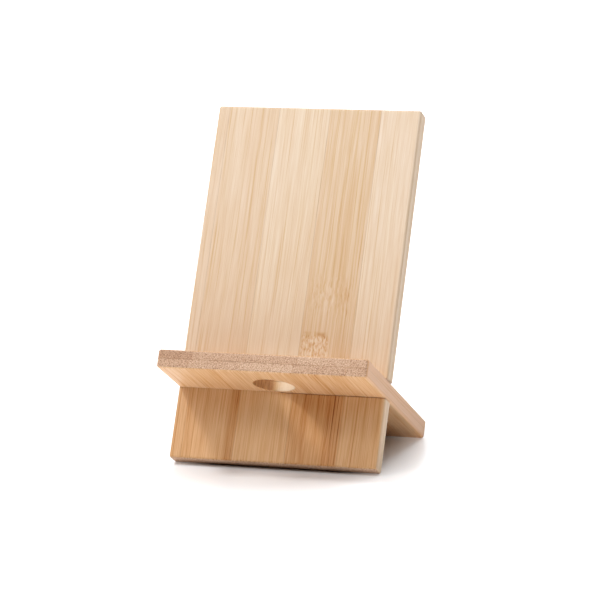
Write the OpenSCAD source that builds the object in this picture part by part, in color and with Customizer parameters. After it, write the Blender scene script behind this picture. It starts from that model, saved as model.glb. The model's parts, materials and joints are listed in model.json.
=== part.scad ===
// Knock-down stand for a phone or a small tablet: two bamboo boards that cross at a right angle.
// The back board leans back and its lower end is the front leg. The shelf board passes through it,
// holds the device's foot in front and is the rear leg behind. Each board has a slot from one side to
// the middle, and the shelf slides sideways into the back board until the slots' ends meet.
// Both boards are two plies thick, and each ply is a row of bamboo strips glued edge to edge.
// X runs across the stand, +Y to its back and +Z up. The origin is on the table, under the middle
// of the stand's outline.

/* [Boards] */
// Width of both boards
board_w = 80; // [66:0.5:110]
// Thickness of both boards
board_t = 7; // [5:0.1:9]
// Length of the back board, from its foot to its top
back_l = 138.5; // [110:0.5:180]
// Distance up the back board, from its foot to the middle of the crossing
cross_h = 30.5; // [24:0.5:40]
// Reach of the shelf in front of the crossing
shelf_front = 30; // [24:0.5:40]
// Reach of the shelf behind the crossing
shelf_rear = 54; // [44:0.5:70]
// Rounding of the boards' outer edges
edge_r = 1; // [0.4:0.1:2]

/* [Halving joint] */
// Clearance between each side of a slot and the board in it
slot_gap = 0.15; // [0.05:0.01:0.3]
// Clearance between the closed ends of the two slots
stop_gap = 0.1; // [0.02:0.01:0.5]
// Bevel on both corners of a slot's mouth
mouth_bevel = 0.6; // [0.2:0.1:2]

/* [Charging hole] */
// Diameter of the hole in the shelf that a charging plug passes through
hole_d = 15; // [8:0.5:20]
// Width of shelf between the hole and the back board's front face
hole_wall = 1.6; // [1:0.1:4]

/* [Bamboo strips] */
// Width of a full strip of bamboo
strip_w = 20; // [15:0.5:30]
// Least width left to a strip at the side of a board
least_strip = 3; // [2:0.5:8]
// Seam nearest the middle line in the back board's front ply
back_front_seam = 4.5; // [-7:0.1:7]
// Seam nearest the middle line in the back board's rear ply
back_rear_seam = -5.5; // [-7:0.1:7]
// Seam nearest the middle line in the shelf's top ply
shelf_top_seam = -6.7; // [-7:0.1:7]
// Seam nearest the middle line in the shelf's bottom ply
shelf_bottom_seam = -8; // [-9:0.1:7]

/* [Hidden] */
$fn = 96;
ply_t = board_t / 2;
half_w = board_w / 2;
back_head = back_l - cross_h;
hole_reach = ply_t + hole_wall + hole_d / 2;

// How far the cuts run past the faces that they open
cut_past = 1;

// Angle of the back board from the table, at which the rear corners of both feet touch the table
tilt = atan2(shelf_rear - ply_t, cross_h - ply_t);

// Depth and height from the crossing of a point that is `up` along the back board and `back` along the shelf
function depth(up, back) = up * cos(tilt) + back * sin(tilt);
function height(up, back) = up * sin(tilt) - back * cos(tilt);

// Middle of the crossing, from the centres of the edge roundings that reach furthest
inset = ply_t - edge_r;
rearmost = max(depth(back_head - edge_r, inset), depth(inset, shelf_rear - edge_r));
foremost = min(depth(edge_r - cross_h, -inset), depth(-inset, edge_r - shelf_front));
cross_y = -(rearmost + foremost) / 2;
cross_z = edge_r - height(edge_r - cross_h, inset);

// Colours of raw bamboo, from the palest strip to the darkest
BAMBOO = ["#F0DCC0", "#E9CFAC", "#E0BF96", "#D2A878"];

// Places across a ply where a strip begins or ends: its two sides, and a seam every strip_w from seam_x
strips_to_side = ceil(half_w / strip_w) + 1;
function strip_edges(seam_x) = concat(
    [-half_w],
    [
        for (i = [-strips_to_side : strips_to_side])
            let (x = seam_x + i * strip_w)
            if (abs(x) < half_w - least_strip) x
    ],
    [half_w]
);

// The ends that the slot leaves of a strip: both ends of one that lies wholly beside the slot's side
// of the middle line, or else 0 for a strip that stays whole. -1 is the end at the foot, 1 at the head
function strip_ends(left, right, slot_side) =
    (slot_side > 0 ? left : -right) > -stop_gap / 2 ? [-1, 1] : [0];

// All pieces of one ply, each as [node name, left side, right side, end, number of its strip]
function ply_pieces(name, seam_x, slot_side, foot_word, head_word) =
    let (edges = strip_edges(seam_x))
    [
        for (i = [0 : len(edges) - 2])
            for (end = strip_ends(edges[i], edges[i + 1], slot_side))
                let (word = end == 0 ? "" : end < 0 ? foot_word : head_word)
                [str(name, "_strip_", i + 1, word), edges[i], edges[i + 1], end, i]
    ];

BACK_SLOT = 1;
SHELF_SLOT = -1;
BACK_FRONT = ply_pieces("back_front", back_front_seam, BACK_SLOT, "_lower", "_upper");
BACK_REAR = ply_pieces("back_rear", back_rear_seam, BACK_SLOT, "_lower", "_upper");
SHELF_TOP = ply_pieces("shelf_top", shelf_top_seam, SHELF_SLOT, "_front", "_rear");
SHELF_BOTTOM = ply_pieces("shelf_bottom", shelf_bottom_seam, SHELF_SLOT, "_front", "_rear");

// Both boards are drawn lying flat with the crossing at the origin, the foot towards -Y, the head
// towards +Y and the face that the device touches up. These two stand them up.
module stand_back_board() {
    translate([0, cross_y, cross_z]) rotate([tilt, 0, 0]) children();
}

module stand_shelf_board() {
    translate([0, cross_y, cross_z]) rotate([tilt - 90, 0, 0]) children();
}

// Rectangle with round corners, centred on the origin
module rounded_rectangle(width, length) {
    x = width / 2 - edge_r;
    y = length / 2 - edge_r;
    square([width, 2 * y], center = true);
    square([2 * x, length], center = true);
    for (side = [-1, 1], end = [-1, 1]) translate([side * x, end * y]) circle(edge_r);
}

// Board with all its outer edges rounded: the space that its three rounded outlines share
module plate(foot, head) {
    length = foot + head;
    translate([0, (head - foot) / 2, 0]) intersection() {
        linear_extrude(board_t, center = true) rounded_rectangle(board_w, length);
        rotate([90, 0, 0]) linear_extrude(length, center = true) rounded_rectangle(board_w, board_t);
        rotate([90, 0, 90]) linear_extrude(board_w, center = true) rounded_rectangle(length, board_t);
    }
}

// Slot for the other board, from just past the middle line to a bevelled mouth at the given side
module slot(slot_side) {
    wall = ply_t + slot_gap;
    mouth = wall + mouth_bevel;
    outline = [
        [-stop_gap / 2, -wall],
        [half_w - mouth_bevel, -wall],
        [half_w, -mouth],
        [half_w + cut_past, -mouth],
        [half_w + cut_past, mouth],
        [half_w, mouth],
        [half_w - mouth_bevel, wall],
        [-stop_gap / 2, wall],
    ];
    linear_extrude(board_t + 2 * cut_past, center = true)
        polygon([for (p = outline) [slot_side * p[0], p[1]]]);
}

// One piece of one ply: the part of a plate that lies between two seams, cut off by the slot.
// The upper ply is the one that the device touches
module strip(piece, foot, head, slot_side, upper) {
    end = piece[3];
    from_y = end > 0 ? 0 : -foot;
    to_y = end < 0 ? 0 : head;
    difference() {
        intersection() {
            plate(foot, head);
            translate([piece[1], from_y, upper ? 0 : -ply_t])
                cube([piece[2] - piece[1], to_y - from_y, ply_t]);
        }
        slot(slot_side);
    }
}

module charging_hole() {
    translate([0, -hole_reach, 0]) cylinder(board_t + 2 * cut_past, d = hole_d, center = true);
}

// Strip of the back board's front ply, which the device leans on
module back_front_strip(piece) {
    color(BAMBOO[[1, 1, 0, 2, 0][piece[4] % 5]]) stand_back_board()
        strip(piece, cross_h, back_head, BACK_SLOT, true);
}

// Strip of the back board's rear ply
module back_rear_strip(piece) {
    color(BAMBOO[[0, 2, 1, 1, 2][piece[4] % 5]]) stand_back_board()
        strip(piece, cross_h, back_head, BACK_SLOT, false);
}

// Strip of the shelf's top ply, which the device stands on
module shelf_top_strip(piece) {
    color(BAMBOO[[3, 2, 2, 1, 2][piece[4] % 5]]) stand_shelf_board() difference() {
        strip(piece, shelf_front, shelf_rear, SHELF_SLOT, true);
        charging_hole();
    }
}

// Strip of the shelf's bottom ply
module shelf_bottom_strip(piece) {
    color(BAMBOO[[2, 1, 1, 2, 3][piece[4] % 5]]) stand_shelf_board() difference() {
        strip(piece, shelf_front, shelf_rear, SHELF_SLOT, false);
        charging_hole();
    }
}

for (piece = BACK_FRONT) back_front_strip(piece);
for (piece = BACK_REAR) back_rear_strip(piece);
for (piece = SHELF_TOP) shelf_top_strip(piece);
for (piece = SHELF_BOTTOM) shelf_bottom_strip(piece);
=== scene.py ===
"""Knock-down bamboo stand for a phone or tablet: two boards of glued strips that cross in a halving joint.

Every strip of the CAD model is rebuilt here as a finished piece of wood: rounded where its board is
rounded, eased along its glue seams and saw cuts, and given its own procedural bamboo. Lengths are in
metres, unless a name or a comment says mm.
"""
import json
import math
from collections import namedtuple

import bmesh
import bpy
from mathutils import Matrix, Vector


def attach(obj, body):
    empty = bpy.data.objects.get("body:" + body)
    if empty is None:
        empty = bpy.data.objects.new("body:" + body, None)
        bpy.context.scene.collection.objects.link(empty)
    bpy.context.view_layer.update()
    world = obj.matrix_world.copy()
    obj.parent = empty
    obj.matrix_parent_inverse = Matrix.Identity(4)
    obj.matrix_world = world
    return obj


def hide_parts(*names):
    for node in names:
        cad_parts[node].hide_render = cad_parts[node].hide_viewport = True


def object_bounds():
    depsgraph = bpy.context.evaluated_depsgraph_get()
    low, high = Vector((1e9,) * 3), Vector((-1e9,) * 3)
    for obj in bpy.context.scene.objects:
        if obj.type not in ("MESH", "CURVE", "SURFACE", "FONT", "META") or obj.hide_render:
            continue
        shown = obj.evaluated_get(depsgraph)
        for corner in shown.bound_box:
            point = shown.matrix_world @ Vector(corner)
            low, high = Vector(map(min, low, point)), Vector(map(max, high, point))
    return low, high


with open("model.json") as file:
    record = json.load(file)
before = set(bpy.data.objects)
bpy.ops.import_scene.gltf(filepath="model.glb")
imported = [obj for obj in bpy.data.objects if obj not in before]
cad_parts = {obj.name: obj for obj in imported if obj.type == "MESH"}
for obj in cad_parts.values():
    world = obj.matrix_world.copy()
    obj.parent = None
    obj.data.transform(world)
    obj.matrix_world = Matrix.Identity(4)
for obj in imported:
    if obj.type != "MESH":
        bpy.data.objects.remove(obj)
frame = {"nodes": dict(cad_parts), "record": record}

cad_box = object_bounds()
record = frame["record"]
MM = 0.001
ACROSS = Vector((1, 0, 0))  # from side to side of both boards

# Slack in comparing places
TINY = 0.001 * MM
SAME = 0.002 * MM  # places closer than this are one
LEAST_STEP = 0.005 * MM  # between two cuts
ON_WALL = 0.01 * MM  # a CAD vertex this close to a slot's wall lies on it
ON_SIDE = 0.1 * MM  # an edge this close to a board's side is no seam

# ---------------------------------------------------------------- the two boards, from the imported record

mount = {m["name"]: m for m in record["mounts"]}
up_back = Vector(mount["device_foot_face"]["axis"])  # along the back board, square to the shelf
out_front = Vector(mount["device_back_face"]["axis"])  # out of the back board, along the shelf to its front
half_thick = mount["charging_hole"]["dims"]["length_mm"] * MM / 2
hole_r = mount["charging_hole"]["dims"]["r_mm"] * MM
half_width = (cad_box[1].x - cad_box[0].x) / 2

crossing = up_back * (Vector(mount["device_foot_face"]["pos_m"]).dot(up_back) - half_thick)
crossing += out_front * (Vector(mount["device_back_face"]["pos_m"]).dot(out_front) - half_thick)

EDGE_R = 1.0 * MM  # rounding of the boards' outer edges
SEAM_EASE = 0.05 * MM  # a glue seam, sanded and lacquered over
RIM_EASE = 0.18 * MM  # the edges of a saw cut, broken with fine paper
MOUTH_BEVEL = 0.6 * MM  # both corners of a slot's mouth
HOLE_EASE = 0.35 * MM  # rounding of the charging hole's edges

# A board's own frame starts from the crossing: x across it, y along its grain and z out of the face that
# the device touches. slot_side is 1 where its slot opens to the right and -1 where it opens to the left
Board = namedtuple("Board", "grain face slot_side foot head slot_wall slot_end hole_y")


def local_of(board, point):
    rel = Vector(point) - crossing
    return Vector((rel.x, rel.dot(board.grain), rel.dot(board.face)))


def corners(board, node):
    """Lowest and highest corner of a CAD node in its board's own frame."""
    points = [local_of(board, v.co) for v in frame["nodes"][node].data.vertices]
    return [Vector(pick(p[i] for p in points) for i in range(3)) for pick in (min, max)]


def make_board(grain, face, slot_side, whole, cut, notched):
    """Reads a board's sizes off three CAD nodes: a strip that the slot left whole, the head end of one
    that it cut in two, and one that it ends in."""
    bare = Board(grain, face, slot_side, 0, 0, 0, 0, None)
    low, high = corners(bare, whole)
    wall = corners(bare, cut)[0].y
    points = [local_of(bare, v.co) for v in frame["nodes"][notched].data.vertices]
    end = min(slot_side * p.x for p in points if abs(p.y - wall) < ON_WALL)
    return bare._replace(foot=low.y, head=high.y, slot_wall=wall, slot_end=slot_side * end)


back = make_board(
    up_back, out_front, 1,
    whole="back_front_strip_2", cut="back_front_strip_4_upper", notched="back_front_strip_3",
)
shelf = make_board(
    -out_front, up_back, -1,
    whole="shelf_top_strip_4", cut="shelf_top_strip_2_rear", notched="shelf_top_strip_3",
)
shelf = shelf._replace(hole_y=local_of(shelf, mount["charging_hole"]["pos_m"]).y)

# ---------------------------------------------------------------- meshes

ARC_STEPS = 4  # faces in each half of an edge's quarter round
HOLE_STEPS = 96  # faces round the charging hole
CUT_PAST = 1.0 * MM  # how far the hole's cutter runs past the board's faces
LEVEL = 0.99  # least z of the normal of a face that lies level
SAME_SIDE = 0.5  # least dot product of a face's normal and the rounded surface's normal there


def arc_cuts(low, high):
    """Cuts between two rounded ends, close together near them so that they fall evenly round each arc."""
    steps = [EDGE_R * math.tan(math.radians(45 * i / ARC_STEPS)) for i in range(ARC_STEPS + 1)]
    return {low, high, *(low + EDGE_R - s for s in steps), *(high - EDGE_R + s for s in steps)}


def tidy_cuts(cuts, low, high):
    """The cuts in order, without those outside the ends or on top of one another."""
    kept = []
    for c in sorted(cuts):
        if low - TINY <= c <= high + TINY and (not kept or c - kept[-1] > LEAST_STEP):
            kept.append(c)
    return kept


def near(a, b):
    return abs(a - b) < SAME


class Strip:
    """One strip: its board, its box in the board's frame, and which of its sides are glue seams."""

    def __init__(self, board, node):
        self.board, self.node = board, node
        self.low, self.high = corners(board, node)
        self.seams = [x for x in (self.low.x, self.high.x) if abs(abs(x) - half_width) > ON_SIDE]
        self.outer_z = half_thick if self.high.z > half_thick / 2 else -half_thick
        self.severed = near(abs(self.low.y), board.slot_wall) or near(abs(self.high.y), board.slot_wall)
        self.notched = self.low.x < board.slot_end < self.high.x
        self.meets_hole = (
            board.hole_y is not None and self.low.x < hole_r and self.high.x > -hole_r
            and self.low.y < board.hole_y - hole_r and self.high.y > board.hole_y
        )

    def in_slot(self, x, y):
        b = self.board
        return b.slot_side * x > b.slot_side * b.slot_end and abs(y) < b.slot_wall

    def cuts(self):
        b = self.board
        x = arc_cuts(-half_width, half_width)
        y = arc_cuts(b.foot, b.head)
        z = arc_cuts(-half_thick, half_thick)
        for seam in self.seams:
            x.update((seam, seam + SEAM_EASE, seam - SEAM_EASE))
        z.update((0, math.copysign(SEAM_EASE, self.outer_z)))
        y.update(side * (b.slot_wall + ease) for side in (-1, 1) for ease in (0, RIM_EASE))
        if self.notched:
            x.update((b.slot_end, b.slot_end - b.slot_side * RIM_EASE))
        x.add(b.slot_side * (half_width - MOUTH_BEVEL))
        return [tidy_cuts(c | {l, h}, l, h) for c, l, h in zip((x, y, z), self.low, self.high)]

    def prism(self):
        """The strip before its edges are rounded: the skin of a grid of cells with the slot left out."""
        xs, ys, zs = self.cuts()
        bm = bmesh.new()
        made = {}

        def vertex(*ijk):
            if ijk not in made:
                made[ijk] = bm.verts.new((xs[ijk[0]], ys[ijk[1]], zs[ijk[2]]))
            return made[ijk]

        def solid(i, j):
            if not (0 <= i < len(xs) - 1 and 0 <= j < len(ys) - 1):
                return False
            return not self.in_slot((xs[i] + xs[i + 1]) / 2, (ys[j] + ys[j + 1]) / 2)

        top = len(zs) - 1
        for i in range(len(xs) - 1):
            for j in range(len(ys) - 1):
                if not solid(i, j):
                    continue
                square = [(i, j), (i + 1, j), (i + 1, j + 1), (i, j + 1)]
                bm.faces.new([vertex(a, b, top) for a, b in square])
                bm.faces.new([vertex(a, b, 0) for a, b in reversed(square)])
                beyond = [(i, j - 1), (i + 1, j), (i, j + 1), (i - 1, j)]
                for side in range(4):
                    if solid(*beyond[side]):
                        continue
                    (a, b), (c, d) = square[side], square[(side + 1) % 4]
                    for k in range(top):
                        wall = (a, b, k), (c, d, k), (c, d, k + 1), (a, b, k + 1)
                        bm.faces.new([vertex(*corner) for corner in wall])
        return bm

    def outward(self, p):
        """The nearest point of the board's core, the box that its edge roundings are centred on, and the
        way from there to the point."""
        b = self.board
        core = Vector((
            max(-half_width + EDGE_R, min(half_width - EDGE_R, p.x)),
            max(b.foot + EDGE_R, min(b.head - EDGE_R, p.y)),
            max(-half_thick + EDGE_R, min(half_thick - EDGE_R, p.z)),
        ))
        return core, p - core

    def on_skin(self, p):
        at_end = near(p.y, self.board.foot) or near(p.y, self.board.head)
        return at_end or near(abs(p.x), half_width) or near(abs(p.z), half_thick)

    def eased(self, p):
        """How far a point of the board's skin is sunk, along a glue seam or the edge of a saw cut."""
        b = self.board
        along_slot = near(abs(p.y), b.slot_wall) and b.slot_side * p.x > b.slot_side * b.slot_end - SAME
        at_end = near(p.x, b.slot_end) and abs(p.y) < b.slot_wall + SAME
        if (along_slot or at_end) and (self.severed or self.notched):
            return RIM_EASE
        if any(near(p.x, seam) for seam in self.seams) or near(p.z, 0):
            return SEAM_EASE
        return 0.0

    def finish_point(self, p):
        """Where a point of the prism lies on the finished strip."""
        b = self.board
        p = p.copy()
        skin, sunk = self.on_skin(p), self.eased(p)
        past_bevel = b.slot_side * p.x - (half_width - MOUTH_BEVEL)
        if near(abs(p.y), b.slot_wall) and past_bevel > 0:
            p.y += math.copysign(past_bevel, p.y)
        if not skin:
            return p
        core, out = self.outward(p)
        return core + out.normalized() * (EDGE_R - sunk)

    def mesh(self):
        """The finished mesh in the row's frame, with the normals that the true rounded surfaces have."""
        bm = self.prism()
        if self.meets_hole:
            bm = cut_hole(bm, self.board.hole_y)
        rough = [v.co.copy() for v in bm.verts]
        for v in bm.verts:
            v.co = self.finish_point(v.co)
        bm.normal_update()
        normals = []
        bm.verts.index_update()
        for f in bm.faces:
            crisp = any(self.on_skin(rough[v.index]) and self.eased(rough[v.index]) for v in f.verts)
            for v in f.verts:
                normals.append(self.loop_normal(f.normal, rough[v.index], crisp))
        to_row = Matrix((ACROSS, self.board.grain, self.board.face)).transposed()
        normals = [to_row @ n for n in normals]
        bm.transform(Matrix.Translation(crossing) @ to_row.to_4x4())
        mesh = bpy.data.meshes.new(self.node)
        bm.to_mesh(mesh)
        bm.free()
        for polygon in mesh.polygons:
            polygon.use_smooth = True
        mesh.normals_split_custom_set(normals)
        return mesh

    def loop_normal(self, face_normal, p, crisp):
        """Normal at a corner of a face, from the corner's place before the edges were rounded."""
        if self.meets_hole:
            radial = Vector((p.x, p.y - self.board.hole_y, 0))
            if radial.length < hole_r + HOLE_EASE + TINY and abs(face_normal.z) < LEVEL:
                inward = (radial.length - hole_r - HOLE_EASE) / HOLE_EASE
                rise = max(0.0, abs(p.z) - half_thick + HOLE_EASE) / HOLE_EASE
                n = radial.normalized() * inward
                n.z = math.copysign(rise, p.z)
                return n.normalized() if rise > TINY else -radial.normalized()
        if crisp:
            return face_normal.copy()
        out = self.outward(p)[1]
        if self.on_skin(p) and out.normalized().dot(face_normal) > SAME_SIDE:
            return out.normalized()
        return face_normal.copy()


def cut_hole(bm, hole_y):
    """Cuts the charging hole, with rounded edges, through a prism."""
    def temporary(name, source):
        mesh = bpy.data.meshes.new(name)
        source.to_mesh(mesh)
        source.free()
        obj = bpy.data.objects.new(name, mesh)
        bpy.context.scene.collection.objects.link(obj)
        return obj

    profile = [(hole_r, 0.0)]
    for i in range(ARC_STEPS + 1):
        turn = math.radians(90 * i / ARC_STEPS)
        wider, lower = HOLE_EASE * (1 - math.cos(turn)), HOLE_EASE * (1 - math.sin(turn))
        profile.append((hole_r + wider, half_thick - lower))
    profile.append((profile[-1][0], half_thick + CUT_PAST))
    profile = [(r, -z) for r, z in reversed(profile[1:])] + profile
    cutter = bmesh.new()
    rings = []
    for r, z in profile:
        turns = [math.tau * (i + 0.5) / HOLE_STEPS for i in range(HOLE_STEPS)]
        rings.append([cutter.verts.new((r * math.cos(t), hole_y + r * math.sin(t), z)) for t in turns])
    for lower, upper in zip(rings, rings[1:]):
        for i in range(HOLE_STEPS):
            j = (i + 1) % HOLE_STEPS
            cutter.faces.new((lower[i], lower[j], upper[j], upper[i]))
    cutter.faces.new(list(reversed(rings[0])))
    cutter.faces.new(rings[-1])
    whole, tool = temporary("whole", bm), temporary("tool", cutter)
    boolean = whole.modifiers.new("hole", "BOOLEAN")
    boolean.operation, boolean.solver, boolean.object = "DIFFERENCE", "EXACT", tool
    result = bmesh.new()
    result.from_object(whole, bpy.context.evaluated_depsgraph_get())
    for obj in (whole, tool):
        bpy.data.meshes.remove(obj.data)
    return result


# ---------------------------------------------------------------- shader nodes


def linear(srgb):
    """A colour given as 0-255 sRGB, as the shader needs it."""
    def channel(c):
        c /= 255
        return c / 12.92 if c <= 0.04045 else ((c + 0.055) / 1.055) ** 2.4
    return tuple(channel(c) for c in srgb) + (1.0,)


class Graph:
    """Shorthand for building one material's nodes."""

    def __init__(self, name):
        self.material = bpy.data.materials.new(name)
        self.material.use_nodes = True
        self.tree = self.material.node_tree
        self.tree.nodes.clear()

    def node(self, kind, inputs=(), **settings):
        made = self.tree.nodes.new(kind)
        for key, value in settings.items():
            setattr(made, key, value)
        for where, value in dict(inputs).items():
            self.feed(made.inputs[where], value)
        return made

    def feed(self, socket, value):
        if isinstance(value, bpy.types.NodeSocket):
            self.tree.links.new(value, socket)
        else:
            socket.default_value = value

    def math(self, operation, a, b=0.0):
        return self.node("ShaderNodeMath", {0: a, 1: b}, operation=operation).outputs[0]

    def add(self, *terms):
        total = terms[0]
        for term in terms[1:]:
            total = self.math("ADD", total, term)
        return total

    def mul(self, *factors):
        total = factors[0]
        for factor in factors[1:]:
            total = self.math("MULTIPLY", total, factor)
        return total

    def span(self, value, low, high, to_low=0.0, to_high=1.0):
        """Smooth step of value from low to high."""
        inputs = {"Value": value, "From Min": low, "From Max": high, "To Min": to_low, "To Max": to_high}
        return self.node("ShaderNodeMapRange", inputs, interpolation_type="SMOOTHSTEP").outputs[0]

    def distance(self, value, place):
        return self.math("ABSOLUTE", self.add(value, -place))

    def vector(self, x, y, z):
        return self.node("ShaderNodeCombineXYZ", {0: x, 1: y, 2: z}).outputs[0]

    def vector_math(self, operation, a, b=(0, 0, 0)):
        made = self.node("ShaderNodeVectorMath", {0: a, 1: b}, operation=operation)
        return made.outputs["Value" if operation in ("DOT_PRODUCT", "LENGTH") else "Vector"]

    def noise(self, vector, detail, roughness):
        inputs = {"Vector": vector, "Scale": 1.0, "Detail": detail, "Roughness": roughness}
        return self.node("ShaderNodeTexNoise", inputs, noise_dimensions="3D").outputs[0]

    def ramp(self, value, stops):
        """Colour of value along stops of (place, 0-255 sRGB colour)."""
        made = self.node("ShaderNodeValToRGB", {0: value})
        elements = made.color_ramp.elements
        while len(elements) < len(stops):
            elements.new(1.0)
        for element, (place, colour) in zip(elements, stops):
            element.position, element.color = place, linear(colour)
        return made.outputs[0]

    def mix(self, factor, a, b, blend="MIX"):
        made = self.node("ShaderNodeMix", data_type="RGBA", blend_type=blend)
        for index, value in ((0, factor), (6, a), (7, b)):
            self.feed(made.inputs[index], value)
        return made.outputs[2]

    def tinted(self, factor, colour, tint):
        """The colour, multiplied by a tint as far as factor says."""
        return self.mix(factor, colour, self.mix(1.0, colour, tint, "MULTIPLY"))


# ---------------------------------------------------------------- bamboo

# Colours of lacquered bamboo from the palest tone, 0, to the darkest, 1
TONES = (
    (0.00, (238, 220, 194)),
    (0.25, (226, 199, 165)),
    (0.50, (214, 178, 133)),
    (0.70, (200, 152, 99)),
    (0.85, (178, 121, 69)),
    (1.00, (134, 82, 42)),
)
END_TONES = (
    (0.00, (236, 206, 178)),
    (0.35, (205, 165, 135)),
    (0.65, (184, 140, 108)),
    (1.00, (138, 95, 66)),
)
GLUE = linear((116, 74, 46))
# Tints that multiply a colour: of a strip with a high hue, of browner wood and of the painted shade at the
# back board's foot, and of the shelf's sides
PINKER = (0.99, 0.965, 1.02, 1)
BROWNER = (0.93, 0.70, 0.46, 1)
RUDDY = (1.06, 0.94, 0.89, 1)

# A layer of noise: its grains per mm across the strip, how many times longer than wide they are, the
# noise's detail and roughness, and an offset that keeps it apart from the other layers
Layer = namedtuple("Layer", "scale stretch detail roughness offset", defaults=(2.0, 0.5, 0.0))
DRIFT = Layer(0.06, 6, detail=1.0)  # wander of all fibres
BEND = Layer(0.40, 2.4, offset=5.0)  # bend of the fibres in a swirl
BROAD = Layer(0.13, 30)
MEDIUM = Layer(0.50, 45, 3.0, 0.6, 11.0)
FINE = Layer(1.45, 55, 3.0, 0.65, 23.0)
HAIR = Layer(3.00, 60, 2.0, 0.7, 29.0)
SWIRL_DASHES = Layer(1.5, 8.0, 2.0, 0.7, 37.0)
RAGGED_EDGE = Layer(0.8, 1.5, 3.0, 0.6, 41.0)  # outline of a knuckle
LIP_BREAKS = Layer(0.32, 1.0, 1.0, offset=43.0)
SPECKLE = Layer(1.7, 3.0, 2.0, 0.6, 47.0)  # pores of a knuckle
HUE_DRIFT = Layer(0.22, 8, 1.0, offset=51.0)
END_GRAINS = Layer(2.8, 1.0, 2.0, 0.75, 53.0)
END_SPECKS = Layer(1.9, 1.0, 1.0, 0.6, 59.0)
GLUE_BREAKS = Layer(0.45, 8.0, offset=61.0)
PLY_LINE_GAPS = Layer(0.16, 8.0, 3.0, 0.7, 67.0)
BORED_STREAKS = Layer(1.7, 1.0, 2.0, 0.6, 71.0)

NOISE_GAIN = 2.8  # brings noise round 0.5 to about -1 to 1
SEED_JUMP, JUMP_THROUGH = 37.1, 0.7  # how far apart two strips' noise lies in x, and the share of it in z
DRIFT_MM, BEND_MM, BEND_THROUGH = 0.9, 0.75, 0.5  # how far fibres move in x, and the share of it in z
BUNDLES_PER_MM, BUNDLES_ALONG = 1.35, 0.012  # vascular bundles per mm across the strip, and along it
BUNDLE_EDGE = (0.50, 0.12)  # distances from a bundle's middle where it begins and is full
MEAN_BUNDLE = 0.35

# How squarely a face has to look along an axis to begin to be, and wholly be, end grain or a board's side
END_GRAIN_FACING, SIDE_FACING = (0.60, 0.90), (0.5, 0.9)

# Change of tone that each layer makes, in pale wood and in wood as brown as the painted shade at the back
# board's foot makes it
FINE_CHANGE = (0.060, 0.10)
FINE_LINE_CHANGE, FINE_LINE = (0.09, 0.17), (0.25, 0.8)  # FINE_LINE: where fine noise becomes a line
HAIR_CHANGE = (0.20, 0.48)
BUNDLE_CHANGE = (0.17, 0.32)
BROAD_CHANGE, MEDIUM_CHANGE, SIDE_CHANGE = 0.040, 0.030, 0.10
SIDE_HAIR = 0.35  # share of the hair lines left on a board's sides
SIDE_CHANGE_RISE = (-6.0, 8.0)  # y in mm over which the back board's sides take SIDE_CHANGE
BAND_FADE_MM = 14.0  # over which a band's ends fade
BAND_EDGE, BAND_RAGGED, BAND_DRIFT = (1.25, 0.35), 0.25, 0.35  # shares of a band's half width, and of DRIFT

# How brown the wood is, from 0 to 1. On the back board this brown is painted shade, deep under the shelf at
# its foot and slight lower down its whole face
SHELF_BROWN, SHELF_SIDE_BROWN = 0.85, 0.48
FOOT_PAINTED_SHADE, FOOT_PAINTED_SHADE_RISE = 0.87, (13.0, -4.0)  # of the back board's front ply at its foot, and y in mm
FACE_PAINTED_SHADE, FACE_PAINTED_SHADE_RISE = 0.13, (80.0, 5.0)  # added to it lower down the whole face
RAGGED_MEDIUM, RAGGED_FINE, RAGGED_BROAD = 4.5, 2.5, 3.0  # mm by which the layers fray the foot's brown
REAR_PLY_SHADE, BACK_SIDE_SHADE = 0.15, 0.35  # shares of it on the rear ply and on the sides

# A swirl's fading edge, as shares of its half width and half height where it begins and where it is full
SWIRL_BEND_EDGE = {"outer": (1.3, 1.5), "inner": (0.4, 0.0)}
SWIRL_DASH_EDGE = {"outer": (1.0, 1.3), "inner": (0.7, 0.4)}
SWIRL_DASH_CHANGE, SWIRL_CHANGE, SWIRL_ORANGE = 0.22, 0.02, 0.35

KNUCKLE_RAGGED_MM = 0.9
SPECKLE_BEND = 0.4  # share of the ragged outline's shift that the pores follow
PORE, PORE_CHANGE = (-0.35, 0.55), 0.36
DARK_PORE, DARK_PORE_CHANGE = (0.55, 0.95), 0.24
KNUCKLE_CHANGE = -0.20
LIP_MM, LIP_ABOVE_MM, LIP_CHANGE = (1.7, 0.2), 0.2, 0.34
KNUCKLE_ORANGE = (0.1, 0.6)

HUE_DRIFT_CHANGE, HUE_HAIR, HUE_BUNDLE, HUE_MIDDLE = 0.30, -0.5, -0.9, 0.3
HUE_RANGE = (-1.2, 1.2)

END_TONE, END_BUNDLE, END_GRAIN_CHANGE, END_SPECK_CHANGE = 0.36, 0.34, 0.85, -0.22
END_SPECK = (0.3, 0.75)
END_BROAD, END_MEDIUM = 0.05, 0.04

BORED_EDGE_MM = (0.45, 0.25)  # past the hole's radius, where its wall's colour begins and is full
BORED_STRENGTH, BORED_STRETCH = 0.9, 0.12
# painted shade and painted light on the hole's wall: dark at its left, pale at its right
BORED_PAINTED_SHADE = (-4.0, 1.5, 0.86, 0.16)  # x in mm from and to, and the tones there
BORED_STREAK = (-2.0, 3.0, 0.22, 0.08)  # the same for the change that streaks make

GLUE_KEPT = (-0.6, 0.5, 0.15, 1.0)  # noise from and to, and the strength of the glue lines there
SEAM_LINE_MM, SEAM_LINE = (0.17, 0.03), 0.25
PLY_LINE_MM, PLY_LINE, PLY_LINE_KEPT = (0.22, 0.05), (0.18, 0.85), (-0.45, 0.15)  # strength on faces, ends

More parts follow.
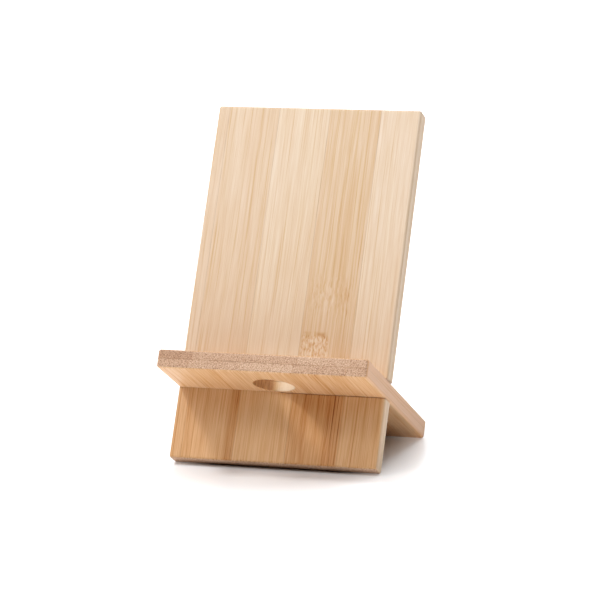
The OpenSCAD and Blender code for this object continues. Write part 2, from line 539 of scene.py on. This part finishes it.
ROUGHNESS, ROUGH_MEDIUM, ROUGH_FINE, ROUGH_END = 0.47, 0.04, 0.03, 0.13
BUMP_FINE, BUMP_HAIR, BUMP_BUNDLE, BUMP_ON_FACES = -0.35, -0.25, -0.6, 0.25
BUMP_STRENGTH, BUMP_DEPTH = 0.4, 0.03 * MM
LACQUER_IOR = 1.45

ALL = (-60, 120)  # y in mm of a band that runs the whole length

# What one strip looks like; places are in mm in its board's frame. tone is its general darkness, hue how
# far it leans to pink, streaks the strength of its lines, and end_tone the darkness of its end grain.
# A band is a streak with its own place: x, half width, change of tone, and the y that it runs between.
# A knuckle is where the culm had a node, and a swirl the bent fibres near one: x, y, half width, half height.
Look = namedtuple("Look", "tone hue streaks end_tone bands knuckles swirls", defaults=(0, 1, 0, (), (), ()))


class Bamboo(Graph):
    """Bamboo with fibres along the board's grain: streaks on long faces, bundle ends on end grain."""

    def __init__(self, name, strip, look, seed):
        super().__init__(name)
        self.strip, self.board, self.look = strip, strip.board, look
        self.jump = seed * SEED_JUMP
        self.coords = self.node("ShaderNodeTexCoord")
        from_crossing = self.vector_math("SUBTRACT", self.coords.outputs["Object"], crossing)
        self.x, self.y, self.z = (
            self.mul(self.vector_math("DOT_PRODUCT", from_crossing, axis), 1 / MM)
            for axis in (ACROSS, self.board.grain, self.board.face)
        )
        self.end_grain = self.span(self.facing(self.board.grain), *END_GRAIN_FACING)
        self.sideways = self.span(self.facing(ACROSS), *SIDE_FACING)
        self.lay_fibres()
        # the shelf's brown, and the painted shade at the back board's foot and lower down its face
        self.browner = self.brownness_and_shade()
        colour = self.mix(self.end_grain, self.face_colour(), self.end_colour())
        if strip.meets_hole:
            colour = self.bored_wall_painted_shade(colour)
        self.shade(self.glue_lines(colour))

    def facing(self, axis):
        return self.math("ABSOLUTE", self.vector_math("DOT_PRODUCT", self.coords.outputs["Normal"], axis))

    def field(self, across, through, layer):
        """Noise of about -1 to 1 with the layer's grains, stretched along the strip."""
        vector = self.vector(
            self.add(self.mul(across, layer.scale), self.jump + layer.offset),
            self.mul(self.y, layer.scale / layer.stretch),
            self.add(self.mul(through, layer.scale), self.jump * JUMP_THROUGH),
        )
        return self.mul(self.add(self.noise(vector, layer.detail, layer.roughness), -0.5), NOISE_GAIN)

    def patch(self, spot, outer, inner):
        """0 outside a spot and 1 in its middle. outer and inner are shares of its half width and height."""
        x, y, half_w, half_h = spot
        return self.mul(
            self.span(self.distance(self.y, y), half_h * outer[1], half_h * inner[1]),
            self.span(self.distance(self.x, x), half_w * outer[0], half_w * inner[0]),
        )

    def lay_fibres(self):
        """The fibres wander a little, and bend where the culm had a node."""
        self.drift = self.mul(self.field(self.x, self.z, DRIFT), DRIFT_MM)
        bend = self.drift
        for swirl in self.look.swirls:
            here = self.patch(swirl, **SWIRL_BEND_EDGE)
            bend = self.add(bend, self.mul(here, self.field(self.x, self.z, BEND), BEND_MM))
        self.xs, self.zs = self.add(self.x, bend), self.add(self.z, self.mul(bend, BEND_THROUGH))
        self.broad, self.medium, self.fine, self.hair = (
            self.field(self.xs, self.zs, layer) for layer in (BROAD, MEDIUM, FINE, HAIR)
        )
        bundles = self.node("ShaderNodeTexVoronoi", {
            "Vector": self.vector(
                self.add(self.mul(self.xs, BUNDLES_PER_MM), self.jump),
                self.mul(self.y, BUNDLES_ALONG),
                self.mul(self.zs, BUNDLES_PER_MM),
            ),
            "Scale": 1.0, "Randomness": 0.9,
        })
        self.bundle = self.span(bundles.outputs["Distance"], *BUNDLE_EDGE)

    def brownness_and_shade(self):
        """The back board's front ply is browner towards its foot, which is painted shade under the shelf, and
        all of the shelf is brown.
        """
        if self.board is shelf:
            return self.span(self.sideways, 0.0, 1.0, SHELF_BROWN, SHELF_SIDE_BROWN)
        ragged = self.add(
            self.y,
            self.mul(self.medium, RAGGED_MEDIUM),
            self.mul(self.fine, RAGGED_FINE),
            self.mul(self.broad, RAGGED_BROAD),
        )
        # painted shade: browner under the shelf at the foot, frayed by the grain, and a little browner lower
        # down the whole face
        foot_shade = self.add(
            self.span(ragged, *FOOT_PAINTED_SHADE_RISE, 0.0, FOOT_PAINTED_SHADE),
            self.span(self.y, *FACE_PAINTED_SHADE_RISE, 0.0, FACE_PAINTED_SHADE),
        )
        if self.strip.outer_z < 0:
            foot_shade = self.mul(foot_shade, REAR_PLY_SHADE)
        return self.mul(foot_shade, self.span(self.sideways, 0.0, 1.0, 1.0, BACK_SIDE_SHADE))

    def by_brown(self, pale_and_brown):
        return self.span(self.browner, 0.0, 1.0, *pale_and_brown)

    def face_colour(self):
        """Colour of the long faces, along the grain."""
        strength = self.look.streaks
        side = self.sideways
        if self.board is back:
            side = self.mul(side, self.span(self.y, *SIDE_CHANGE_RISE))
        hair_kept = self.span(self.sideways, 0.0, 1.0, 1.0, SIDE_HAIR)
        tone = self.add(
            self.look.tone,
            self.mul(self.broad, BROAD_CHANGE),
            self.mul(self.medium, MEDIUM_CHANGE * strength),
            self.mul(self.fine, self.by_brown(FINE_CHANGE), strength),
            self.mul(self.hair, self.by_brown(HAIR_CHANGE), hair_kept),
            self.mul(self.span(self.fine, *FINE_LINE), self.by_brown(FINE_LINE_CHANGE), strength),
            self.mul(self.add(self.bundle, -MEAN_BUNDLE), self.by_brown(BUNDLE_CHANGE)),
            self.mul(side, SIDE_CHANGE),
        )
        for band in self.look.bands:
            tone = self.add(tone, self.band_change(*band))
        # the brown tint also carries the painted shade at the back board's foot
        orange = self.browner
        for swirl in self.look.swirls:
            here = self.patch(swirl, **SWIRL_DASH_EDGE)
            dashes = self.field(self.xs, self.zs, SWIRL_DASHES)
            tone = self.add(tone, self.mul(here, dashes, SWIRL_DASH_CHANGE), self.mul(here, SWIRL_CHANGE))
            warmth = self.mul(here, self.span(dashes, -0.3, 0.8, 0.0, SWIRL_ORANGE))
            orange = self.math("MAXIMUM", orange, warmth)
        for knuckle in self.look.knuckles:
            change, warmth = self.knuckle(*knuckle)
            tone, orange = self.add(tone, change), self.math("MAXIMUM", orange, warmth)
        hue = self.add(
            self.look.hue,
            self.mul(self.field(self.x, self.z, HUE_DRIFT), HUE_DRIFT_CHANGE),
            self.mul(self.hair, HUE_HAIR),
            self.mul(self.bundle, HUE_BUNDLE),
            HUE_MIDDLE,
        )
        face = self.tinted(self.span(hue, *HUE_RANGE), self.ramp(tone, TONES), PINKER)
        face = self.tinted(orange, face, BROWNER)
        return self.tinted(self.sideways, face, RUDDY) if self.board is shelf else face

    def band_change(self, place, half, change, low, high):
        """Change of tone in a band, which fades over BAND_FADE_MM at its ends."""
        edge = self.add(
            self.distance(self.add(self.x, self.mul(self.drift, BAND_DRIFT)), place),
            self.mul(self.fine, half * BAND_RAGGED),
        )
        fade = BAND_FADE_MM / 2
        run = self.mul(
            self.span(self.y, low - fade, low + fade),
            self.span(self.y, high + fade, high - fade),
        )
        return self.mul(self.span(edge, *(half * share for share in BAND_EDGE)), run, change)

    def knuckle(self, kx, ky, half_w, half_h):
        """Change of tone and orange warmth of a knuckle: a ragged patch of pores under a dark, broken lip."""
        ragged = self.mul(self.field(self.x, self.z, RAGGED_EDGE), KNUCKLE_RAGGED_MM)
        across = self.add(self.distance(self.x, kx), ragged)
        up = self.add(self.distance(self.y, ky), ragged)
        inside = self.mul(
            self.span(across, half_w + 0.5, half_w - 0.7),
            self.span(up, half_h + 0.5, half_h - 0.9),
        )
        speckle = self.field(self.add(self.x, self.mul(ragged, SPECKLE_BEND)), self.z, SPECKLE)
        marks = self.add(
            self.mul(self.span(speckle, *PORE), PORE_CHANGE),
            self.mul(self.span(speckle, *DARK_PORE), DARK_PORE_CHANGE),
            KNUCKLE_CHANGE,
        )
        lip = self.mul(
            self.span(self.distance(self.y, ky + half_h + LIP_ABOVE_MM), *LIP_MM),
            self.span(across, half_w, half_w - 1.2),
        )
        breaks = self.span(self.field(self.x, self.z, LIP_BREAKS), -0.6, 0.6)
        warmth = self.mul(inside, self.span(speckle, -0.5, 0.6, *KNUCKLE_ORANGE))
        return self.add(self.mul(inside, marks), self.mul(lip, breaks, LIP_CHANGE)), warmth

    def end_colour(self):
        """Colour of the end grain, with the cut ends of the bundles."""
        specks = self.span(self.field(self.x, self.z, END_SPECKS), *END_SPECK)
        return self.ramp(self.add(
            END_TONE + self.look.end_tone,
            self.mul(self.bundle, END_BUNDLE),
            self.mul(self.field(self.x, self.z, END_GRAINS), END_GRAIN_CHANGE),
            self.mul(specks, END_SPECK_CHANGE),
            self.mul(self.broad, END_BROAD),
            self.mul(self.medium, END_MEDIUM),
        ), END_TONES)

    def bored_wall_painted_shade(self, colour):
        """The colour with the charging hole's wall on it: painted shade, darker and more streaked, at its
        left, and painted light, paler, at its right.
        """
        along = self.add(self.y, -self.board.hole_y / MM)
        from_axis = self.math("SQRT", self.add(self.mul(self.x, self.x), self.math("POWER", along, 2.0)))
        bored = self.span(from_axis, *(hole_r / MM + past for past in BORED_EDGE_MM))
        streaks = self.field(self.x, self.mul(self.z, BORED_STRETCH), BORED_STREAKS)
        # painted shade at the wall's left and painted light at its right, with streaks stronger in the shade
        tone = self.add(
            self.span(self.x, *BORED_PAINTED_SHADE),
            self.mul(streaks, self.span(self.x, *BORED_STREAK)),
        )
        return self.mix(self.mul(bored, BORED_STRENGTH), colour, self.ramp(tone, TONES))

    def glue_lines(self, colour):
        """The colour with the glue lines between strips, which are faint, and between plies."""
        broken = self.span(self.field(self.x, self.z, GLUE_BREAKS), *GLUE_KEPT)
        for seam in self.strip.seams:
            line = self.span(self.distance(self.x, seam / MM), *SEAM_LINE_MM)
            colour = self.mix(self.mul(line, broken, SEAM_LINE), colour, GLUE)
        kept = self.span(self.field(self.x, self.z, PLY_LINE_GAPS), *PLY_LINE_KEPT)
        line = self.mul(self.span(self.math("ABSOLUTE", self.z), *PLY_LINE_MM), kept)
        strength = self.span(self.end_grain, 0.0, 1.0, *PLY_LINE)
        return self.mix(self.mul(line, broken, strength), colour, GLUE)

    def shade(self, colour):
        """Satin lacquer over the colour, a little rougher and deeper along the lines and on end grain."""
        roughness = self.add(
            ROUGHNESS,
            self.mul(self.medium, ROUGH_MEDIUM),
            self.mul(self.fine, ROUGH_FINE),
            self.mul(self.end_grain, ROUGH_END),
        )
        height = self.add(
            self.mul(self.fine, BUMP_FINE),
            self.mul(self.hair, BUMP_HAIR),
            self.mul(self.bundle, self.add(self.end_grain, BUMP_ON_FACES), BUMP_BUNDLE),
        )
        bump = self.node("ShaderNodeBump", {
            "Strength": BUMP_STRENGTH, "Distance": BUMP_DEPTH, "Height": height,
        })
        shader = self.node("ShaderNodeBsdfPrincipled", {
            "Base Color": colour, "Roughness": roughness, "Normal": bump.outputs[0], "IOR": LACQUER_IOR,
        })
        self.node("ShaderNodeOutputMaterial", {"Surface": shader.outputs[0]})


# The strips' looks, left to right
LOOKS = {
    "back_front": [
        Look(0.27, hue=0.5, bands=((-37.5, 0.5, 0.045, *ALL),)),
        Look(0.29, hue=0.2, bands=(
            (-34.2, 1.2, 0.075, -40, 62), (-31.5, 1.0, 0.075, -10, 80), (-28.0, 0.9, 0.06, -40, 72),
            (-22.0, 0.8, 0.06, *ALL), (-16.6, 1.0, 0.03, *ALL), (-17.6, 2.2, 0.24, -40, 8),
            (-30.0, 3.0, -0.045, 70, 120),
        )),
        Look(0.22, hue=-0.1, bands=(
            (-14.9, 0.6, -0.06, *ALL), (-8.0, 1.2, 0.09, 25, 78), (-4.0, 1.0, 0.045, *ALL),
            (2.5, 1.8, 0.068, -40, 70),
        )),
        Look(0.36, hue=0.0, streaks=1.35, bands=(
            (5.4, 0.6, 0.075, *ALL), (10.4, 0.6, 0.105, 40, 120), (13.8, 0.8, 0.105, 35, 100),
            (17.5, 1.2, 0.12, 30, 88), (15.8, 1.0, 0.112, 38, 76), (21.0, 0.7, 0.06, *ALL),
            (23.6, 0.8, 0.105, 66, 120), (21.0, 3.6, 0.18, -40, 8), (14.5, 9.5, 0.13, -40, 2),
            # the band near x 13 from y -12 to 2 darkens the top of the leg just under the shelf: partly
            # darker wood, partly painted shade in the crease under the shelf
            (13.0, 8.0, 0.1, -12, 2), (8.0, 3.6, 0.1, -40, 8), (19.5, 2.4, 0.07, 5, 40),
            (5.4, 0.3, 0.1, 18, 31), (8.2, 0.35, 0.16, 18, 30), (11.3, 0.5, 0.2, 18, 28),
            (13.6, 0.4, 0.16, 18, 30),
        ), knuckles=((10.4, 14.4, 5.2, 4.4),), swirls=((14.0, 34.5, 9.5, 8.0),)),
        Look(0.21, hue=0.1, bands=(
            (38.0, 0.8, 0.09, -40, 50), (33.0, 9.5, 0.12, -40, 0), (25.4, 0.5, -0.045, *ALL),
            (33.0, 0.7, -0.045, *ALL),
        )),
    ],
    "back_rear": [
        Look(0.24),
        Look(
            0.38, hue=0.2, streaks=1.2,
            knuckles=((-15.5, 70.0, 8.5, 3.4),), swirls=((-15.5, 78.0, 9.0, 5.0),),
        ),
        Look(0.27),
        Look(0.24, hue=0.4),
        Look(0.36, streaks=1.1),
    ],
    "shelf_top": [
        Look(0.42, hue=0.1, streaks=1.2, end_tone=0.20),
        Look(0.34, hue=0.2, end_tone=0.02),
        Look(0.32, end_tone=0.02),
        Look(
            0.22, hue=0.3, end_tone=-0.05,
            knuckles=((23.5, 30.0, 8.5, 3.4),), swirls=((23.5, 37.0, 9.0, 4.5),),
        ),
        Look(0.33, end_tone=0.02),
    ],
    "shelf_bottom": [
        Look(0.25, hue=0.4, streaks=1.5, end_tone=0.03),
        Look(0.33, streaks=1.6, end_tone=-0.01, bands=(
            (-20.0, 1.0, 0.08, *ALL), (-14.0, 1.2, 0.06, *ALL),
        )),
        Look(0.29, hue=0.2, streaks=1.5, end_tone=-0.09, bands=((10.9, 0.9, 0.22, *ALL),)),
        Look(0.36, hue=0.3, streaks=1.6, end_tone=0.02, bands=(
            (20.6, 0.7, 0.16, *ALL), (29.0, 2.4, 0.06, *ALL),
        )),
        Look(0.30, hue=0.4, streaks=1.1, end_tone=0.03),
    ],
}

STRIPS_PER_PLY = 5


def build_strips():
    materials = {}
    for body, nodes in record["behaviour"]["bodies"].items():
        board = back if body == "back_board" else shelf
        for node in nodes:
            strip = Strip(board, node)
            ply, _, number = node.partition("_strip_")
            number = int(number[0])
            key = f"bamboo_{ply}_{number}"
            if key not in materials:
                seed = list(LOOKS).index(ply) * STRIPS_PER_PLY + number
                materials[key] = Bamboo(key, strip, LOOKS[ply][number - 1], seed).material
            piece = bpy.data.objects.new(node + ".wood", strip.mesh())
            piece.data.materials.append(materials[key])
            bpy.context.scene.collection.objects.link(piece)
            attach(piece, body)
            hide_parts(node)


# ---------------------------------------------------------------- floor, light and camera

FLOOR_REACH = 6.0  # from its middle to each side
FLOOR_COLOUR, FLOOR_ROUGHNESS = (0.885, 0.92, 0.96, 1), 0.25
# The floor glows from near the stand outwards, and more far off. Each glow: its strength, and the distances
# from the middle at which it starts and is full
NEAR_GLOW = (0.47, 0.040, 0.088)
FAR_GLOW = (0.45, 0.5, 1.6)
GLOW_STRETCH = (1.4, 1.0, 1.0)  # the floor's sizes as the glow sees them, so that it starts nearer in x

LIGHT_DISTANCE = 2.2
LIGHT_AIM = Vector((0, 0, 0.05))
# Name, degrees round from the front, degrees above the table, side of the softbox, and watts
LIGHTS = [
    ("key", -84, 59, 0.36, 24.0),
    ("left", -45, 45, 1.0, 11.0),
    ("top", 0, 66, 1.0, 10.6),
    ("fill", 30, 45, 1.0, 6.8),
    ("rear", 165, 70, 1.0, 13.0),
]
# White wall behind, which the table top reflects
WALL_WIDTH, WALL_HEIGHT, WALL_Y, WALL_RADIANCE = 5.0, 2.4, 2.4, 1.2

CAMERA_AZIMUTH, CAMERA_ELEVATION = 18.67, 11.19  # degrees round from the front, and above the table
CAMERA_DISTANCE = 1.1616
CAMERA_AIM_HEIGHT = 0.0587  # of the point that the camera looks round, over the back board's foot
CAMERA_PAN, CAMERA_TILT, CAMERA_ROLL = -0.533, -0.205, -1.073  # degrees off that point
CAMERA_LENS, CAMERA_SENSOR = 192.1, 36  # mm
CAMERA_CLIP = (0.01, 50)


def build_floor():
    """White table top, which glows a little way off the stand so that it burns out to white there."""
    mesh = bpy.data.meshes.new("floor")
    sides = ((-1, -1), (1, -1), (1, 1), (-1, 1))
    mesh.from_pydata([(x * FLOOR_REACH, y * FLOOR_REACH, 0) for x, y in sides], [], [(0, 1, 2, 3)])
    floor = bpy.data.objects.new("floor", mesh)
    g = Graph("floor_paint")
    place = g.node("ShaderNodeTexCoord").outputs["Object"]
    away = g.vector_math("LENGTH", g.vector_math("MULTIPLY", place, GLOW_STRETCH))
    glows = [g.span(away, start, full, 0.0, strength) for strength, start, full in (NEAR_GLOW, FAR_GLOW)]
    shader = g.node("ShaderNodeBsdfPrincipled", {
        "Base Color": FLOOR_COLOUR, "Roughness": FLOOR_ROUGHNESS,
        "Emission Color": (1, 1, 1, 1), "Emission Strength": g.add(*glows),
    })
    g.node("ShaderNodeOutputMaterial", {"Surface": shader.outputs[0]})
    mesh.materials.append(g.material)
    bpy.context.scene.collection.objects.link(floor)


def direction(azimuth, elevation):
    """Unit vector at degrees round from the front, towards the right, and degrees above the table."""
    a, e = math.radians(azimuth), math.radians(elevation)
    return Vector((math.sin(a) * math.cos(e), -math.cos(a) * math.cos(e), math.sin(e)))


def area_light(name, width, height, watts, location, facing):
    data = bpy.data.lights.new(name, "AREA")
    data.shape, data.size, data.size_y, data.energy = "RECTANGLE", width, height, watts
    light = bpy.data.objects.new(name, data)
    light.location = location
    light.rotation_mode = "QUATERNION"
    light.rotation_quaternion = facing.to_track_quat("-Z", "Y")
    bpy.context.scene.collection.objects.link(light)


def build_light():
    for name, azimuth, elevation, side, watts in LIGHTS:
        out = direction(azimuth, elevation)
        area_light(name, side, side, watts, LIGHT_AIM + out * LIGHT_DISTANCE, -out)
    watts = WALL_RADIANCE * math.pi * WALL_WIDTH * WALL_HEIGHT
    wall_middle = Vector((0, WALL_Y, WALL_HEIGHT / 2))
    area_light("wall", WALL_WIDTH, WALL_HEIGHT, watts, wall_middle, Vector((0, -1, 0)))
    world = bpy.data.worlds.new("studio")
    world.use_nodes = True
    world.node_tree.nodes["Background"].inputs["Color"].default_value = (0, 0, 0, 1)
    bpy.context.scene.world = world


def build_camera():
    scene = bpy.context.scene
    data = bpy.data.cameras.new("camera")
    data.lens, data.sensor_width = CAMERA_LENS, CAMERA_SENSOR
    data.clip_start, data.clip_end = CAMERA_CLIP
    camera = bpy.data.objects.new("camera", data)
    foot_y = (crossing + up_back * back.foot).y
    outwards = direction(CAMERA_AZIMUTH, CAMERA_ELEVATION)
    camera.location = Vector((0, foot_y, CAMERA_AIM_HEIGHT)) + outwards * CAMERA_DISTANCE
    looks_back = direction(CAMERA_AZIMUTH + CAMERA_PAN, CAMERA_ELEVATION + CAMERA_TILT)
    turn = (-looks_back).to_track_quat("-Z", "Y").to_matrix()
    camera.rotation_mode = "QUATERNION"
    roll = Matrix.Rotation(math.radians(CAMERA_ROLL), 3, "Z")
    camera.rotation_quaternion = (turn @ roll).to_quaternion()
    scene.collection.objects.link(camera)
    scene.camera = camera
    scene.view_settings.view_transform = "Standard"


build_strips()
build_floor()
build_light()
build_camera()
